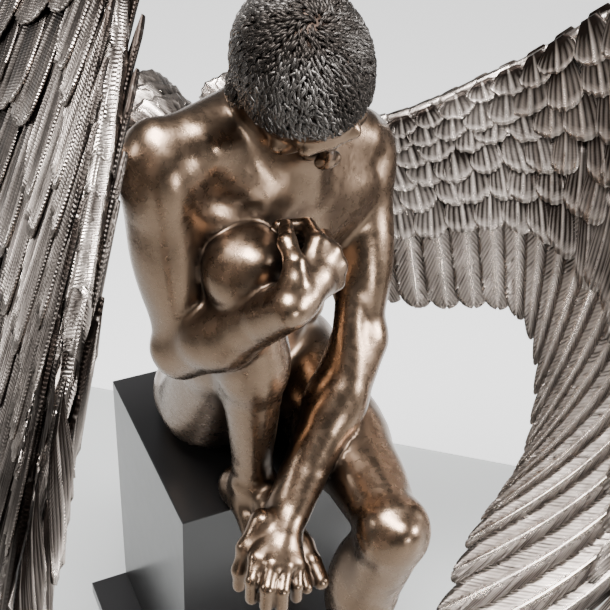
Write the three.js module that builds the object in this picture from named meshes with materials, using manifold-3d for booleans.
// Seated winged figure on a box plinth. Millimetres, +Z up, front of the plinth towards -Y.
import * as THREE from "three";
import Module from "manifold-3d";

const wasm = await Module();
wasm.setup();

// ---------------------------------------------------------------- driving sizes
const STATURE = 1750;
const GAP = 0.3;
const BOX_SIDE = 360;
const BOX_HEIGHT = 500;
const PLATE_THICK = 30;
const PLATE_SIDE_REACH = 70;
const PLATE_TOE_MARGIN = 32;
const PLATE_EDGE = 2;
const SEAT_Z = PLATE_THICK + BOX_HEIGHT;

// The figure is drawn at this stature on this seat, then scaled to STATURE and set on SEAT_Z.
const DRAWN_STATURE = 1750;
const DRAWN_SEAT = 530;
const DRAWN_TOE_REACH = 438;
const SCALE = STATURE / DRAWN_STATURE;
const PLATE_FRONT_Y = -(DRAWN_TOE_REACH * SCALE + PLATE_TOE_MARGIN);

// The plate's top as the drawn figure meets it: the lowered foot stands on it.
const DRAWN_PLATE = DRAWN_SEAT - BOX_HEIGHT / SCALE;

const FIGURE_CELL = 7.5;
const FIGURE_TRIANGLES = 4700;

// ---------------------------------------------------------------- vectors
const add = (a, b) => [a[0] + b[0], a[1] + b[1], a[2] + b[2]];
const sub = (a, b) => [a[0] - b[0], a[1] - b[1], a[2] - b[2]];
const mul = (a, s) => [a[0] * s, a[1] * s, a[2] * s];
const dot = (a, b) => a[0] * b[0] + a[1] * b[1] + a[2] * b[2];
const cross = (a, b) => [
  a[1] * b[2] - a[2] * b[1],
  a[2] * b[0] - a[0] * b[2],
  a[0] * b[1] - a[1] * b[0],
];
const len = (a) => Math.hypot(a[0], a[1], a[2]);
const unit = (a) => mul(a, 1 / len(a));
const mix = (a, b, t) => add(mul(a, 1 - t), mul(b, t));

// ---------------------------------------------------------------- pose
// Joint centres of the seated pose at the drawn stature, measured from the plinth's plan centre.
const POSE = {
  hipR: [-75, -22, 623],
  hipL: [97, 34, 613],
  kneeR: [-106, -226, 1002],
  kneeL: [60, -380, 620],
  ankleR: [-74, -196, 592],
  ankleL: [32, -302, DRAWN_PLATE + 178],
  neck: [-12, -104, 1114],
  shoulderR: [-190, -160, 1122],
  shoulderL: [138, -50, 1035],
  elbowR: [-171, -166, 848],
  elbowL: [110, -158, 787],
  wristR: [-88, -318, 1000],
  wristL: [-56, -285, 620],
  head: [-37, -216, 1240],
};

// Local frame: o is the origin, s points to the figure's left, u up its spine, f to its front.
const frame = (o, s, u) => {
  const side = unit(s);
  const up = unit(sub(u, mul(side, dot(u, side))));
  return { o, s: side, u: up, f: cross(side, up) };
};
const at = (fr, s, u, f) => add(fr.o, add(mul(fr.s, s), add(mul(fr.u, u), mul(fr.f, f))));

// Bone frame: u runs from a to b, f is the front of the limb, s is its side.
const bone = (a, b, front) => {
  const u = unit(sub(b, a));
  const f = unit(sub(front, mul(u, dot(front, u))));
  return { o: a, u, f, s: cross(u, f), l: len(sub(b, a)) };
};
const on = (bn, t, s, f) => add(bn.o, add(mul(bn.u, t * bn.l), add(mul(bn.s, s), mul(bn.f, f))));


// ---------------------------------------------------------------- solid shapes as distances
// A form is one rounded volume: kind, its numbers, its blend width k and its bounding box.
const cone = (a, b, ra, rb, k = 12) => ({
  k,
  lo: [0, 1, 2].map((i) => Math.min(a[i] - ra, b[i] - rb)),
  hi: [0, 1, 2].map((i) => Math.max(a[i] + ra, b[i] + rb)),
  dist(x, y, z) {
    const bx = b[0] - a[0];
    const by = b[1] - a[1];
    const bz = b[2] - a[2];
    const px = x - a[0];
    const py = y - a[1];
    const pz = z - a[2];
    const raw = (px * bx + py * by + pz * bz) / (bx * bx + by * by + bz * bz + 1e-9);
    const h = raw < 0 ? 0 : raw > 1 ? 1 : raw;
    return Math.hypot(px - bx * h, py - by * h, pz - bz * h) - (ra + (rb - ra) * h);
  },
});

// Ellipsoid about c, its radii along the frame's s, u and f.
const ell = (fr, c, r, k = 12) => {
  const big = Math.max(r[0], r[1], r[2]);
  return {
    k,
    lo: c.map((v) => v - big),
    hi: c.map((v) => v + big),
    dist(x, y, z) {
      const p = [x - c[0], y - c[1], z - c[2]];
      const a = dot(p, fr.s) / r[0];
      const b = dot(p, fr.u) / r[1];
      const d = dot(p, fr.f) / r[2];
      const k0 = Math.hypot(a, b, d);
      const k1 = Math.hypot(a / r[0], b / r[1], d / r[2]);
      return k1 < 1e-9 ? -Math.min(r[0], r[1], r[2]) : (k0 * (k0 - 1)) / k1;
    },
  };
};

const smin = (a, b, k) => {
  const h = Math.max(k - Math.abs(a - b), 0) / k;
  return Math.min(a, b) - (h * h * k) / 4;
};

// A group blends its own forms and cuts its own grooves; join is its blend with the other groups.
const group = (join, forms, grooves = []) => ({ join, forms, grooves });

// ---------------------------------------------------------------- the figure's forms
function trunkForms(p) {
  const line = sub(p.shoulderL, p.shoulderR);
  const hips = sub(p.hipL, p.hipR);
  const sideways = add(mul(unit(line), 0.6), mul(unit(hips), 0.4));
  const chest = frame([-14, -66, 985], sideways, [-0.03, -0.32, 0.95]);
  const girdle = frame(mix(p.shoulderR, p.shoulderL, 0.5), line, [-0.03, -0.36, 0.93]);
  const waist = frame([4, 8, 805], hips, [-0.02, -0.12, 0.99]);
  const basin = frame([10, 18, 634], hips, [0, 0.1, 1]);
  const c = (s, u, f) => at(chest, s, u, f);
  const g = (s, u, f) => at(girdle, s, u, f);
  const w = (s, u, f) => at(waist, s, u, f);
  const b = (s, u, f) => at(basin, s, u, f);
  const forms = [
    ell(basin, b(0, 8, 2), [140, 92, 92], 30),
    ell(waist, w(0, -10, 4), [122, 120, 84], 40),
    ell(chest, c(0, -5, -6), [140, 165, 98], 40),
    cone(g(-95, -22, -30), g(95, -22, -30), 54, 54, 30),
    cone(c(0, 60, 42), w(0, 30, 36), 50, 48, 25),
  ];
  for (const m of [-1, 1]) {
    forms.push(
      ell(basin, b(m * 72, -34, -42), [78, 76, 72], 22),
      ell(chest, c(m * 68, 30, 62), [86, 74, 36], 26),
      cone(c(m * 118, 40, -38), w(m * 82, -20, -14), 44, 40, 22),
      ell(chest, c(m * 82, 50, -78), [54, 74, 28], 16),
      cone(w(m * 30, -60, -62), c(m * 30, 60, -78), 26, 26, 18),
      ell(chest, c(m * 34, -88, 52), [36, 34, 22], 18),
      ell(waist, w(m * 30, 24, 62), [32, 36, 18], 18),
      ell(waist, w(m * 104, -58, 12), [30, 48, 50], 18),
    );
  }
  return { forms, chest, girdle, waist, basin };
}

function shoulderForms(p, trunk) {
  const g = (s, u, f) => at(trunk.girdle, s, u, f);
  const nape = add(p.neck, [0, 18, 2]);
  const out = [];
  for (const [m, sh, el] of [[-1, p.shoulderR, p.elbowR], [1, p.shoulderL, p.elbowL]]) {
    const arm = bone(sh, el, trunk.girdle.f);
    const outer = mul(trunk.girdle.s, m);
    out.push(
      cone(add(nape, [0, 0, 24]), add(sh, add(mul(outer, -34), mul(trunk.girdle.u, 26))), 50, 46, 26),
      ell(arm, add(add(sh, mul(arm.u, 16)), mul(outer, 5)), [47, 76, 51], 20),
      ell(arm, add(add(sh, mul(arm.u, 8)), mul(trunk.girdle.f, 24)), [36, 54, 32], 12),
      cone(g(m * 26, 8, 54), add(sh, add(mul(outer, -22), mul(trunk.girdle.f, 20))), 15, 16, 24),
      cone(g(m * 34, 10, 14), add(sh, add(mul(outer, -44), mul(trunk.girdle.f, -4))), 46, 42, 28),
      cone(g(m * 40, -30, 38), add(sh, add(mul(outer, -40), mul(trunk.girdle.u, -34))), 42, 36, 28),
      cone(sh, on(arm, 0.42, 0, 0), 46, 38, 18),
      cone(g(m * 50, -66, 74), add(sh, add(mul(arm.u, 34), mul(trunk.girdle.f, 16))), 34, 28, 16),
    );
  }
  return out;
}

function armForms(p, side, front) {
  const sh = side < 0 ? p.shoulderR : p.shoulderL;
  const el = side < 0 ? p.elbowR : p.elbowL;
  const wr = side < 0 ? p.wristR : p.wristL;
  const up = bone(sh, el, front);
  const low = bone(el, wr, up.u);
  const forms = [
    cone(on(up, 0.1, 0, 0), on(up, 1, 0, 0), 43, 33, 12),
    ell(up, on(up, 0.5, 0, 18), [36, 88, 30], 22),
    ell(up, on(up, 0.44, side * 14, -18), [32, 90, 30], 22),
    ell(up, on(up, 0.4, -side * 14, -16), [28, 92, 30], 22),
    cone(on(up, 0.62, side * 22, 4), on(low, 0.3, side * 16, -8), 20, 26, 12),
    cone(on(up, 0.95, -side * 20, 0), on(low, 0.35, -side * 14, 4), 20, 26, 12),
    ell(up, on(up, 1.02, 0, -17), [21, 26, 20], 18),
    cone(on(low, 0.02, 0, 0), on(low, 0.42, 0, 4), 41, 44, 16),
    cone(on(low, 0.38, 0, 3), on(low, 1, 0, 0), 43, 29, 16),
    cone(on(low, 0.84, 12, 0), on(low, 1.04, 14, 0), 22, 22, 12),
    cone(on(low, 0.84, -12, 0), on(low, 1.04, -14, 0), 22, 22, 12),
  ];
  return forms;
}

// A finger is a chain of rounded joints; each point carries its radius.
function chain(points, k) {
  const forms = [];
  for (let i = 0; i + 1 < points.length; i += 1) {
    const [a, ra] = points[i];
    const [b, rb] = points[i + 1];
    forms.push(cone(a, b, ra, rb, k));
  }
  return forms;
}

// Hands: knuckles, middle joints and tips of index, middle, ring and little finger; the thumb apart.
const LEFT_HAND = {
  wrist: [-60, -288, 619],
  knuckles: [[-130, -343, 605], [-116, -362, 606], [-99, -368, 601], [-80, -363, 594]],
  middles: [[-146, -366, 591], [-133, -386, 592], [-115, -393, 587], [-90, -386, 578]],
  tips: [[-149, -372, 564], [-137, -393, 566], [-117, -399, 562], [-90, -389, 557]],
  thumb: [[-104, -300, 622], [-136, -316, 600], [-148, -326, 570], [-151, -332, 545]],
};
const RIGHT_HAND = {
  wrist: [-86, -322, 1004],
  knuckles: [[-36, -275, 1050], [-21, -282, 1038], [-13, -287, 1019], [-17, -292, 1000]],
  middles: [[-31, -236, 1050], [-9, -240, 1030], [-6, -247, 1008], [-13, -256, 986]],
  tips: [[-60, -218, 1044], [-42, -200, 1022], [-40, -205, 998], [-44, -214, 978]],
  thumb: [[-84, -318, 1028], [-80, -306, 1050], [-78, -280, 1062], [-66, -250, 1064]],
};

function handForms(h) {
  const radii = [[12, 10.5, 9.5], [12.5, 11, 9.5], [12, 10.5, 9.5], [11, 9.5, 8.5]];
  const forms = [];
  h.knuckles.forEach((knuckle, i) => {
    const base = mix(h.wrist, h.knuckles[i], 0.12);
    forms.push(cone(base, knuckle, 15, radii[i][0] + 1.5, 12));
    forms.push(
      ...chain([[knuckle, radii[i][0]], [h.middles[i], radii[i][1]], [h.tips[i], radii[i][2]]], 3),
    );
  });
  const palm = mix(h.wrist, mix(h.knuckles[1], h.knuckles[2], 0.5), 0.55);
  forms.push(cone(mix(h.wrist, palm, 0.2), palm, 19, 17, 14));
  forms.push(...chain([[h.thumb[0], 17], [h.thumb[1], 12], [h.thumb[2], 10.5], [h.thumb[3], 9]], 8));
  forms.push(cone(h.thumb[0], mix(h.wrist, h.knuckles[0], 0.5), 15, 13, 14));
  return forms;
}

function legForms(p, side, front) {
  const hip = side < 0 ? p.hipR : p.hipL;
  const knee = side < 0 ? p.kneeR : p.kneeL;
  const ankle = side < 0 ? p.ankleR : p.ankleL;
  const up = bone(hip, knee, front);
  const low = bone(knee, ankle, up.u);
  return [
    cone(on(up, -0.02, 0, 0), on(up, 0.55, 0, 2), 80, 68, 24),
    cone(on(up, 0.5, 0, 2), on(up, 0.97, 0, 0), 68, 46, 24),
    ell(up, on(up, 0.46, side * 24, 26), [38, 150, 40], 16),
    ell(up, on(up, 0.72, -side * 26, 16), [28, 76, 30], 14),
    ell(up, on(up, 0.42, side * 6, -34), [48, 140, 38], 20),
    ell(up, on(up, 0.28, -side * 30, 0), [42, 110, 46], 20),
    ell(up, on(up, 1.0, side * 18, -2), [31, 38, 44], 12),
    ell(up, on(up, 1.0, -side * 18, -2), [32, 38, 44], 12),
    ell(up, on(up, 1.0, 0, 0), side < 0 ? [55, 48, 52] : [47, 42, 45], 14),
    ell(up, on(up, 1.07, 0, 14), [26, 22, 26], 12),
    cone(on(low, 0.08, 0, 30), on(low, 0.16, 0, 30), 14, 14, 12),
    cone(on(low, 0.04, 0, 6), on(low, 0.42, side * 5, 2), 46, 46, 18),
    cone(on(low, 0.38, side * 5, 2), on(low, 0.92, 0, -2), 46, 28, 18),
    cone(on(low, 0.16, -side * 4, 26), on(low, 0.86, -side * 2, 12), 13, 12, 12),
    ell(low, on(low, 0.28, -side * 16, -26), [27, 88, 31], 14),
    ell(low, on(low, 0.33, side * 24, -22), [32, 108, 34], 14),
    ell(low, on(low, 0.48, 0, -18), [36, 86, 28], 14),
    cone(on(low, 0.62, 0, -20), on(low, 1.04, 0, -32), 14, 10, 10),
    ell(low, on(low, 1.0, side * 24, 0), [10, 18, 14], 8),
    ell(low, on(low, 0.98, -side * 23, 4), [11, 18, 15], 8),
    cone(on(low, 0.9, 0, 0), on(low, 1.06, 0, 2), 27, 27, 10),
  ];
}

// Feet: heel, instep, ball and tips of the five toes, big toe first.
const RIGHT_FOOT = {
  heel: [-82, -166, 560],
  ankle: [-74, -200, 592],
  instep: [-62, -250, 584],
  balls: [[-44, -312, 560], [-60, -320, 560], [-75, -318, 557], [-90, -310, 554], [-104, -296, 552]],
  tips: [[-42, -368, 545], [-66, -372, 546], [-86, -364, 546], [-102, -350, 547], [-116, -330, 547]],
};
const raised = ([x, y, z]) => [x, y, DRAWN_PLATE + z];
const LEFT_FOOT = {
  heel: raised([34, -248, 142]),
  ankle: raised([32, -300, 176]),
  instep: raised([30, -338, 100]),
  balls: [[12, -372, 24], [25, -378, 23], [38, -378, 21], [50, -374, 19], [61, -367, 17]].map(raised),
  tips: [[6, -424, 14], [26, -430, 12], [42, -426, 11], [56, -418, 10], [69, -406, 10]].map(raised),
};

function footForms(f) {
  const forms = [
    cone(f.heel, mix(f.heel, f.instep, 0.4), 29, 26, 16),
    cone(f.ankle, f.heel, 27, 27, 16),
    cone(f.ankle, f.instep, 28, 23, 16),
    cone(f.heel, f.balls[4], 24, 15, 18),
  ];
  const toe = [[17, 13, 12.5], [12, 9.5, 9], [11.5, 9, 8.5], [11, 8.5, 8], [11, 8, 7.5]];
  f.balls.forEach((ball, i) => {
    forms.push(cone(f.instep, ball, 22, toe[i][0], 14));
    const bend = add(mix(ball, f.tips[i], 0.5), [0, 0, 5]);
    forms.push(...chain([[ball, toe[i][0]], [bend, toe[i][1]], [f.tips[i], toe[i][2]]], 4));
  });
  return forms;
}

// Head: f looks down and forward, u points through the crown.
const HEAD_SIDE = [0.97, -0.083, 0.264];
const HEAD_UP = [-0.222, -0.8, 0.565];

function headForms(p, trunk) {
  const head = frame(p.head, HEAD_SIDE, HEAD_UP);
  const h = (s, u, f) => at(head, s, u, f);
  const g = (s, u, f) => at(trunk.girdle, s, u, f);
  const nape = add(p.neck, [0, 10, -6]);
  const forms = [
    ell(head, h(0, 0, -8), [71, 86, 88], 16),
    ell(head, h(0, 16, -10), [75, 78, 87], 12),
    ell(head, h(0, -38, 34), [57, 62, 46], 16),
    ell(head, h(0, -86, 56), [34, 24, 28], 16),
    ell(head, h(0, -106, 72), [20, 13, 14], 10),
    cone(h(-52, -62, 10), h(-22, -98, 62), 15, 13, 14),
    cone(h(52, -62, 10), h(22, -98, 62), 15, 13, 14),
    ell(head, h(-42, -30, 62), [20, 14, 14], 14),
    ell(head, h(42, -30, 62), [20, 14, 14], 14),
    cone(h(-30, 4, 80), h(30, 4, 80), 9, 9, 12),
    cone(h(0, 0, 80), h(0, -36, 96), 7, 9, 12),
    ell(head, h(0, -42, 98), [17, 9, 11], 6),
    ell(head, h(0, -64, 84), [24, 7, 9], 6),
    ell(head, h(0, -76, 82), [20, 7, 9], 6),
    cone(nape, h(0, -70, -34), 58, 56, 20),
    cone(nape, h(0, -40, -50), 50, 46, 20),
    cone(g(0, 0, 44), h(0, -84, 20), 36, 40, 18),
    cone(g(-16, 0, 64), h(-60, -46, -14), 14, 17, 26),
    cone(g(16, 0, 64), h(60, -46, -14), 14, 17, 26),
    cone(h(-72, -14, -10), h(-72, -42, -6), 13, 10, 5),
    cone(h(72, -14, -10), h(72, -42, -6), 13, 10, 5),
  ];
  const grooves = [
    ell(head, h(-30, -14, 92), [16, 9, 10], 8),
    ell(head, h(30, -14, 92), [16, 9, 10], 8),
  ];
  return { forms, grooves, head };
}

function figureGroups(p) {
  const trunk = trunkForms(p);
  const { forms, grooves } = headForms(p, trunk);
  const front = trunk.girdle.f;
  const legR = legForms(p, -1, [0.05, -0.85, 0.5]);
  const legL = legForms(p, 1, [0, 0, 1]);
  const armR = armForms(p, -1, front);
  const armL = armForms(p, 1, front);
  const roots = [legR.slice(0, 1), legL.slice(0, 1), armR.slice(0, 4), armL.slice(0, 4)].flat();
  const body = [...trunk.forms, ...shoulderForms(p, trunk), ...forms];
  return [
    group(6, [...body, ...roots], grooves),
    group(5, [...armR, ...handForms(RIGHT_HAND)]),
    group(5, [...armL, ...handForms(LEFT_HAND)]),
    group(5, [...legR, ...footForms(RIGHT_FOOT)]),
    group(5, [...legL, ...footForms(LEFT_FOOT)]),
  ];
}

// ---------------------------------------------------------------- surface from distances
function sampleGroups(groups, cell) {
  const lo = [1e9, 1e9, 1e9];
  const hi = [-1e9, -1e9, -1e9];
  for (const form of groups.flatMap((entry) => entry.forms)) {
    for (let i = 0; i < 3; i += 1) {
      lo[i] = Math.min(lo[i], form.lo[i] - 3 * cell);
      hi[i] = Math.max(hi[i], form.hi[i] + 3 * cell);
    }
  }
  const n = lo.map((v, i) => Math.ceil((hi[i] - v) / cell) + 1);
  const total = new Float32Array(n[0] * n[1] * n[2]).fill(1e3);
  const sweep = (form, margin, visit) => {
    const a = form.lo.map((v, i) => Math.max(0, Math.floor((v - margin - lo[i]) / cell)));
    const b = form.hi.map((v, i) => Math.min(n[i] - 1, Math.ceil((v + margin - lo[i]) / cell)));
    for (let z = a[2]; z <= b[2]; z += 1) {
      for (let y = a[1]; y <= b[1]; y += 1) {
        for (let x = a[0]; x <= b[0]; x += 1) {
          const d = form.dist(lo[0] + x * cell, lo[1] + y * cell, lo[2] + z * cell);
          visit((z * n[1] + y) * n[0] + x, d);
        }
      }
    }
  };
  for (const entry of groups) {
    const own = new Float32Array(total.length).fill(1e3);
    for (const form of entry.forms) {
      sweep(form, form.k + 2 * cell, (i, d) => {
        own[i] = smin(own[i], d, form.k);
      });
    }
    for (const form of entry.grooves) {
      sweep(form, form.k + 2 * cell, (i, d) => {
        own[i] = -smin(-own[i], d, form.k);
      });
    }
    for (let i = 0; i < total.length; i += 1) {
      if (own[i] < 500) {
        total[i] = smin(total[i], own[i], entry.join);
      }
    }
  }
  return { lo, n, cell, total };
}

// Marching tetrahedra: each cube is six tetrahedra about its long diagonal, so the skin is closed.
function skin(field) {
  const { lo, n, cell, total } = field;
  const tetra = [[0, 1, 3, 7], [0, 3, 2, 7], [0, 2, 6, 7], [0, 6, 4, 7], [0, 4, 5, 7], [0, 5, 1, 7]];
  const places = [];
  const faces = [];
  const seen = new Map();
  const corner = (base, c) => base + (c & 1) + ((c >> 1) & 1) * n[0] + ((c >> 2) & 1) * n[0] * n[1];
  const crossing = (i, j) => {
    const key = i < j ? i * 8388608 * 4 + j : j * 8388608 * 4 + i;
    if (seen.has(key)) {
      return seen.get(key);
    }
    const t = Math.min(0.88, Math.max(0.12, total[i] / (total[i] - total[j])));
    const where = (id, axis) => {
      const x = id % n[0];
      const y = Math.floor(id / n[0]) % n[1];
      const z = Math.floor(id / (n[0] * n[1]));
      return lo[axis] + [x, y, z][axis] * cell;
    };
    const place = [0, 1, 2].map((axis) => where(i, axis) * (1 - t) + where(j, axis) * t);
    places.push(place);
    seen.set(key, places.length - 1);
    return places.length - 1;
  };
  for (let z = 0; z + 1 < n[2]; z += 1) {
    for (let y = 0; y + 1 < n[1]; y += 1) {
      for (let x = 0; x + 1 < n[0]; x += 1) {
        const base = (z * n[1] + y) * n[0] + x;
        let inside = 0;
        for (let c = 0; c < 8; c += 1) {
          inside += total[corner(base, c)] < 0 ? 1 : 0;
        }
        if (inside === 0 || inside === 8) {
          continue;
        }
        for (const tet of tetra) {
          const ids = tet.map((c) => corner(base, c));
          const inn = ids.filter((id) => total[id] < 0);
          const out = ids.filter((id) => total[id] >= 0);
          if (inn.length === 0 || out.length === 0) {
            continue;
          }
          // The order of corners fixes which way the tetrahedron winds.
          const order = [...inn, ...out].map((id) => ids.indexOf(id));
          let flips = 0;
          for (let a = 0; a < 4; a += 1) {
            for (let b = a + 1; b < 4; b += 1) {
              flips += order[a] > order[b] ? 1 : 0;
            }
          }
          const even = flips % 2 === 0;
          const put = (a, b, c) => faces.push(even ? [a, b, c] : [a, c, b]);
          if (inn.length === 1) {
            put(crossing(inn[0], out[0]), crossing(inn[0], out[1]), crossing(inn[0], out[2]));
          } else if (inn.length === 3) {
            put(crossing(inn[0], out[0]), crossing(inn[1], out[0]), crossing(inn[2], out[0]));
          } else {
            const a = crossing(inn[0], out[0]);
            const b = crossing(inn[0], out[1]);
            const c = crossing(inn[1], out[1]);
            const d = crossing(inn[1], out[0]);
            put(a, b, c);
            put(a, c, d);
          }
        }
      }
    }
  }
  return { places, faces };
}

// ---------------------------------------------------------------- fewer triangles, same form
class Heap {
  constructor() {
    this.items = [];
  }

  push(item) {
    const list = this.items;
    list.push(item);
    let i = list.length - 1;
    while (i > 0) {
      const up = (i - 1) >> 1;
      if (list[up].cost <= list[i].cost) {
        break;
      }
      [list[up], list[i]] = [list[i], list[up]];
      i = up;
    }
  }

  pop() {
    const list = this.items;
    const top = list[0];
    const last = list.pop();
    if (list.length > 0) {
      list[0] = last;
      let i = 0;
      for (;;) {
        const a = 2 * i + 1;
        const b = a + 1;
        let least = i;
        if (a < list.length && list[a].cost < list[least].cost) {
          least = a;
        }
        if (b < list.length && list[b].cost < list[least].cost) {
          least = b;
        }
        if (least === i) {
          break;
        }
        [list[least], list[i]] = [list[i], list[least]];
        i = least;
      }
    }
    return top;
  }
}

const planeQuadric = (n, d, w) => [
  w * n[0] * n[0], w * n[0] * n[1], w * n[0] * n[2], w * n[0] * d,
  w * n[1] * n[1], w * n[1] * n[2], w * n[1] * d,
  w * n[2] * n[2], w * n[2] * d, w * d * d,
];

function quadricCost(q, v) {
  const [x, y, z] = v;
  return q[0] * x * x + 2 * q[1] * x * y + 2 * q[2] * x * z + 2 * q[3] * x
    + q[4] * y * y + 2 * q[5] * y * z + 2 * q[6] * y + q[7] * z * z + 2 * q[8] * z + q[9];
}

function bestPlace(q, a, b) {
  const m = [[q[0], q[1], q[2]], [q[1], q[4], q[5]], [q[2], q[5], q[7]]];
  const r = [-q[3], -q[6], -q[8]];
  const det = dot(m[0], cross(m[1], m[2]));
  const scale = (q[0] + q[4] + q[7]) / 3;
  const mid = mix(a, b, 0.5);
  if (Math.abs(det) > 1e-3 * scale * scale * scale) {
    const c0 = cross(m[1], m[2]);
    const c1 = cross(m[2], m[0]);
    const c2 = cross(m[0], m[1]);
    const v = mul(add(add(mul(c0, r[0]), mul(c1, r[1])), mul(c2, r[2])), 1 / det);
    if (len(sub(v, mid)) < 1.5 * len(sub(a, b))) {
      return v;
    }
  }
  const picks = [a, b, mid];
  return picks.reduce((x, y) => (quadricCost(q, x) <= quadricCost(q, y) ? x : y));
}

const faceNormal = (a, b, c) => cross(sub(b, a), sub(c, a));

// Twice a triangle's area over its longest edge squared.
function flatness(tri) {
  const edge = Math.max(...[0, 1, 2].map((i) => len(sub(tri[i], tri[(i + 1) % 3]))));
  return len(faceNormal(...tri)) / (edge * edge + 1e-12);
}

// Collapses the cheapest edges until the target count; weight(v) > 1 keeps fine parts finer.
function reduce(mesh, target, weight) {
  const places = mesh.places.map((v) => v.slice());
  const faces = mesh.faces.map((f) => f.slice());
  const alive = new Uint8Array(faces.length).fill(1);
  const around = places.map(() => new Set());
  const quadrics = places.map(() => new Float64Array(10));
  const version = new Int32Array(places.length);
  faces.forEach((f, i) => {
    const n = faceNormal(places[f[0]], places[f[1]], places[f[2]]);
    const area = len(n) / 2 + 1e-9;
    const u = mul(n, 1 / (2 * area));
    const q = planeQuadric(u, -dot(u, places[f[0]]), area);
    for (const v of f) {
      around[v].add(i);
      const w = weight(places[v]);
      for (let j = 0; j < 10; j += 1) {
        quadrics[v][j] += q[j] * w;
      }
    }
  });
  const ring = (v) => {
    const out = new Set();
    for (const f of around[v]) {
      for (const w of faces[f]) {
        if (w !== v) {
          out.add(w);
        }
      }
    }
    return out;
  };
  const heap = new Heap();
  const offer = (a, b) => {
    const q = quadrics[a].map((v, i) => v + quadrics[b][i]);
    const place = bestPlace(q, places[a], places[b]);
    const span = len(sub(places[a], places[b]));
    const w = weight(place);
    const cost = Math.max(0, quadricCost(q, place)) + 1e-4 * w * span * span * span * span;
    heap.push({ cost, a, b, va: version[a], vb: version[b], place });
  };
  const turns = (v, other, place) => {
    for (const f of around[v]) {
      const face = faces[f];
      if (face.includes(other)) {
        continue;
      }
      const old = face.map((w) => places[w]);
      const moved = face.map((w) => (w === v ? place : places[w]));
      const before = faceNormal(...old);
      const after = faceNormal(...moved);
      const area = len(after);
      const was = len(before);
      if (area < 0.02 || (was > 4 && dot(before, after) < 0.1 * was * area)) {
        return true;
      }
      if (flatness(moved) < 0.03 && flatness(moved) < flatness(old)) {
        return true;
      }
    }
    return false;
  };
  let left = faces.length;
  const collapse = ({ a, b, place }) => {
    const near = ring(a);
    const shared = [...ring(b)].filter((v) => near.has(v));
    if (!near.has(b) || shared.length !== 2 || turns(a, b, place) || turns(b, a, place)) {
      return;
    }
    places[a] = place;
    for (let j = 0; j < 10; j += 1) {
      quadrics[a][j] += quadrics[b][j];
    }
    for (const f of [...around[b]]) {
      if (faces[f].includes(a)) {
        alive[f] = 0;
        left -= 1;
        for (const v of faces[f]) {
          around[v].delete(f);
        }
      } else {
        faces[f] = faces[f].map((v) => (v === b ? a : v));
        around[a].add(f);
      }
    }
    around[b].clear();
    version[a] += 1;
    version[b] += 1;
    for (const v of ring(a)) {
      offer(a, v);
    }
  };
  // Edges that could not go at first are offered again once their surroundings have changed.
  for (let pass = 0; pass < 12 && left > target; pass += 1) {
    heap.items.length = 0;
    faces.forEach((f, i) => {
      for (let j = 0; alive[i] && j < 3; j += 1) {
        if (f[j] < f[(j + 1) % 3]) {
          offer(f[j], f[(j + 1) % 3]);
        }
      }
    });
    while (left > target && heap.items.length > 0) {
      const next = heap.pop();
      if (next.va === version[next.a] && next.vb === version[next.b]) {
        collapse(next);
      }
    }
  }
  const kept = faces.filter((f, i) => alive[i]);
  const names = new Map();
  const out = [];
  const name = (v) => {
    if (!names.has(v)) {
      names.set(v, out.length);
      out.push(places[v]);
    }
    return names.get(v);
  };
  return { faces: kept.map((f) => f.map(name)), places: out };
}

// ---------------------------------------------------------------- wings
// Wing frame: a runs outwards, u up, f forwards, from the middle of the shoulder line.
const STATIONS = [
  { root: [70, -10, -164], mid: [100, -130, -200], tip: [155, -275, -205] },
  { root: [300, -12, -85], mid: [340, -130, -40], tip: [381, -285, 62] },
  { root: [455, 138, -5], mid: [530, -30, 90], tip: [525, -224, 214] },
  { root: [458, 345, 140], mid: [640, 10, 310], tip: [530, -400, 345] },
  { root: [545, 235, 315], mid: [720, -180, 560], tip: [430, -585, 390] },
  { root: [630, 10, 450], mid: [690, -400, 720], tip: [262, -775, 510] },
];
const FLIGHT_FEATHERS = 24;
const WING_TRIANGLES = 2400;
const COVERT_ROWS = [
  { from: 0.3, to: 0.64, count: 12, half: 7 },
  { from: 0.14, to: 0.44, count: 11, half: 10 },
  { from: 0.0, to: 0.25, count: 11, half: 13 },
];
const WING_STUB = { radius: 24, from: -170, to: -56, at: [84, -14] };

// Catmull-Rom through the stations, which lie evenly along the wing.
function station(key, s) {
  const last = STATIONS.length - 1;
  const x = Math.min(Math.max(s, 0), 1) * last;
  const i = Math.min(Math.floor(x), last - 1);
  const t = x - i;
  const pick = (j) => STATIONS[Math.min(Math.max(j, 0), last)][key];
  const [p0, p1, p2, p3] = [pick(i - 1), pick(i), pick(i + 1), pick(i + 2)];
  return p1.map((v, n) => {
    const a = 2 * v;
    const b = p2[n] - p0[n];
    const c = 2 * p0[n] - 5 * v + 4 * p2[n] - p3[n];
    const d = 3 * v - p0[n] - 3 * p2[n] + p3[n];
    return (a + b * t + c * t * t + d * t * t * t) / 2;
  });
}

// A point of the wing's middle surface: s runs from the back to the tip, t down a feather.
function wingPoint(s, t) {
  const root = station("root", s);
  const mid = station("mid", s);
  const tip = station("tip", s);
  return mix(mix(root, mid, t), mix(mid, tip, t), t);
}

function wingAxes(s, t) {
  const e = 0.01;
  const across = unit(sub(wingPoint(s + e, t), wingPoint(Math.max(0, s - e), t)));
  const along = unit(sub(wingPoint(s, Math.min(1, t + e)), wingPoint(s, t - e)));
  return { across, along, face: unit(cross(across, along)) };
}

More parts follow.
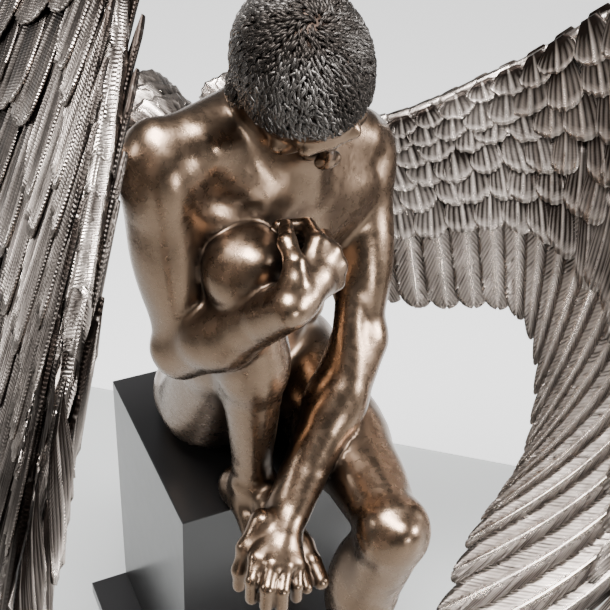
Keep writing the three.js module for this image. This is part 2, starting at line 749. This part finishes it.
// A closed body through rings of equal length, capped at both ends.
function loft(rings) {
  const m = rings[0].length;
  const faces = [];
  for (let i = 0; i + 1 < rings.length; i += 1) {
    for (let j = 0; j < m; j += 1) {
      const a = i * m + j;
      const b = i * m + ((j + 1) % m);
      faces.push([a, b, b + m], [a, b + m, a + m]);
    }
  }
  const top = (rings.length - 1) * m;
  for (let j = 1; j + 1 < m; j += 1) {
    faces.push([0, j + 1, j], [top, top + j, top + j + 1]);
  }
  return { places: rings.flat(), faces };
}

function solidOf({ places, faces }) {
  const made = new wasm.Manifold(
    new wasm.Mesh({
      numProp: 3,
      vertProperties: Float32Array.from(places.flat()),
      triVerts: Uint32Array.from(faces.flat()),
    }),
  );
  if (made.volume() >= 0) {
    return made;
  }
  return solidOf({ places, faces: faces.map(([a, b, c]) => [a, c, b]) });
}

// One feather: lens sections along t; lean lays its outer edge over the next feather.
// shape rows are share of the length, width and thickness.
const LONG_VANE = [[0, 0.6, 1], [0.5, 1, 1], [0.9, 0.98, 0.8], [0.97, 0.78, 0.65], [1, 0.42, 0.5]];
const SHORT_VANE = [[0, 0.7, 1], [0.7, 1, 1], [1, 0.45, 0.5]];
function feather(s, from, to, wide, half, lean, shape, place) {
  const rings = shape.map(
    ([share, width, thick]) => {
      const t = from + (to - from) * share;
      const c = wingPoint(s, t);
      const ax = wingAxes(s, Math.max(t, 0.02));
      const edge = mul(ax.across, wide * width);
      const lift = mul(ax.face, lean * width);
      const rise = mul(ax.face, half * thick);
      return [
        add(c, add(edge, lift)),
        add(c, rise),
        sub(c, add(edge, lift)),
        sub(c, rise),
      ].map(place);
    },
  );
  return solidOf(loft(rings));
}

function wingSolid(torso, hand) {
  const place = ([a, u, f]) => at(torso, hand * a, u, f);
  const parts = [];
  for (let i = 0; i < FLIGHT_FEATHERS; i += 1) {
    const x = (i + 0.6) / (FLIGHT_FEATHERS + 0.2);
    const s = 0.82 * x + 0.18 * x * x;
    const step = len(sub(wingPoint(s + 0.02, 0.75), wingPoint(s - 0.02, 0.75))) / 0.04;
    const wide = 0.62 * ((0.82 + 0.36 * x) / FLIGHT_FEATHERS) * step;
    parts.push(feather(s, 0.04, 1, wide, 5, 3, LONG_VANE, place));
  }
  for (const row of COVERT_ROWS) {
    for (let i = 0; i < row.count; i += 1) {
      const s = (i + 0.5) / row.count;
      const middle = (row.from + row.to) / 2;
      const step = len(sub(wingPoint(s + 0.02, middle), wingPoint(s - 0.02, middle))) / 0.04;
      const wide = 0.6 * (step / row.count);
      parts.push(feather(s, row.from, row.to, wide, row.half, 3, SHORT_VANE, place));
    }
  }
  const bar = [];
  for (let i = 0; i <= 10; i += 1) {
    const s = i / 10;
    const c = wingPoint(s, 0.03);
    const ax = wingAxes(s, 0.05);
    const r = 24 - 10 * s;
    bar.push(
      [0, 1, 2, 3, 4, 5].map((j) => {
        const w = (j * Math.PI) / 3;
        return place(add(c, add(mul(ax.along, r * Math.cos(w)), mul(ax.face, 0.85 * r * Math.sin(w)))));
      }),
    );
  }
  parts.push(solidOf(loft(bar)));
  return fewer(wasm.Manifold.union(parts), WING_TRIANGLES).add(stub(torso, hand, 0));
}

function fewer(solid, target) {
  const mesh = solid.getMesh();
  const places = [];
  for (let i = 0; i < mesh.numVert; i += 1) {
    places.push(Array.from(mesh.vertProperties.subarray(i * mesh.numProp, i * mesh.numProp + 3)));
  }
  const faces = [];
  for (let i = 0; i < mesh.numTri; i += 1) {
    faces.push(Array.from(mesh.triVerts.subarray(i * 3, i * 3 + 3)));
  }
  return solidOf(reduce({ places, faces }, target, () => 1));
}

// The peg by which a wing is let into the back; grow widens it for the socket.
function stub(torso, hand, grow) {
  const { radius, from, to, at: where } = WING_STUB;
  const rings = [from, to + grow].map((f) =>
    [0, 1, 2, 3, 4, 5, 6, 7].map((j) => {
      const w = (j * Math.PI) / 4;
      const r = radius + grow;
      return at(torso, hand * (where[0] + r * Math.cos(w)), where[1] + r * Math.sin(w), f);
    }),
  );
  return solidOf(loft(rings));
}

// ---------------------------------------------------------------- solids
function block(lo, hi) {
  const size = sub(hi, lo);
  return wasm.Manifold.cube(size).translate(lo);
}

const fineParts = (v) => {
  const hands = v[2] > 530 && v[2] < 640 && v[1] < -270 && v[0] < -20;
  const rightHand = v[2] > 970 && v[2] < 1080 && v[1] < -190 && v[0] > -100 && v[0] < 20;
  const foot = v[2] < DRAWN_PLATE + 80 || (v[2] > 520 && v[2] < 600 && v[1] < -200 && v[0] < 0);
  const face = len(sub(v, POSE.head)) < 140;
  return hands || rightHand ? 7 : foot || face ? 4 : 1;
};

// Takes a drawn solid to its real size, on the real seat.
const seated = (solid) => solid.translate([0, 0, -DRAWN_SEAT]).scale(SCALE).translate([0, 0, SEAT_Z]);

function makeFigure(torso) {
  const mesh = reduce(skin(sampleGroups(figureGroups(POSE), FIGURE_CELL)), FIGURE_TRIANGLES, fineParts);
  const half = BOX_SIDE / 2 + GAP;
  const seat = block([-half, -half, 0], [half, half, SEAT_Z + GAP]);
  const floor = block([-600, -600, -50], [600, 600, PLATE_THICK + GAP]);
  let body = seated(solidOf(mesh)).subtract(seat).subtract(floor);
  for (const hand of [-1, 1]) {
    body = body.subtract(seated(stub(torso, hand, GAP / SCALE)));
  }
  return body;
}

const half = BOX_SIDE / 2;
const torso = frame(
  mix(POSE.shoulderR, POSE.shoulderL, 0.5),
  sub(POSE.shoulderL, POSE.shoulderR),
  [-0.02, -0.25, 0.97],
);

function plateSolid() {
  const x = half + PLATE_SIDE_REACH;
  const low = block([-x, PLATE_FRONT_Y, 0], [x, half, PLATE_THICK - PLATE_EDGE]);
  const e = PLATE_EDGE;
  const top = block([-x + e, PLATE_FRONT_Y + e, 0], [x - e, half - e, PLATE_THICK]);
  return wasm.Manifold.hull([low, top]);
}

function boxSolid() {
  const e = PLATE_EDGE;
  const low = block([-half, -half, PLATE_THICK + GAP], [half, half, SEAT_Z - e]);
  const top = block([-half + e, -half + e, PLATE_THICK + GAP], [half - e, half - e, SEAT_Z]);
  return wasm.Manifold.hull([low, top]);
}

// ---------------------------------------------------------------- the group
const FINISH = {
  plinth_black: { color: 0x1c1b1b, roughness: 0.35, metalness: 0 },
  bronze_skin: { color: 0x8c7561, roughness: 0.3, metalness: 1 },
  wing_silver: { color: 0x8e817b, roughness: 0.4, metalness: 1 },
};

const group3 = new THREE.Group();
group3.name = "seated_winged_figure";

function place(name, solid, finish) {
  const mesh = solid.getMesh();
  const geometry = new THREE.BufferGeometry();
  const verts = [];
  for (let i = 0; i < mesh.numVert; i += 1) {
    verts.push(...mesh.vertProperties.subarray(i * mesh.numProp, i * mesh.numProp + 3));
  }
  geometry.setAttribute("position", new THREE.Float32BufferAttribute(verts, 3));
  geometry.setIndex(Array.from(mesh.triVerts));
  geometry.computeVertexNormals();
  const made = new THREE.Mesh(geometry, new THREE.MeshStandardMaterial(FINISH[finish]));
  made.name = name;
  group3.add(made);
}

place("base_plate", plateSolid(), "plinth_black");
place("plinth_box", boxSolid(), "plinth_black");
place("figure", makeFigure(torso), "bronze_skin");
place("left_wing", seated(wingSolid(torso, 1)), "wing_silver");
place("right_wing", seated(wingSolid(torso, -1)), "wing_silver");

export default group3;
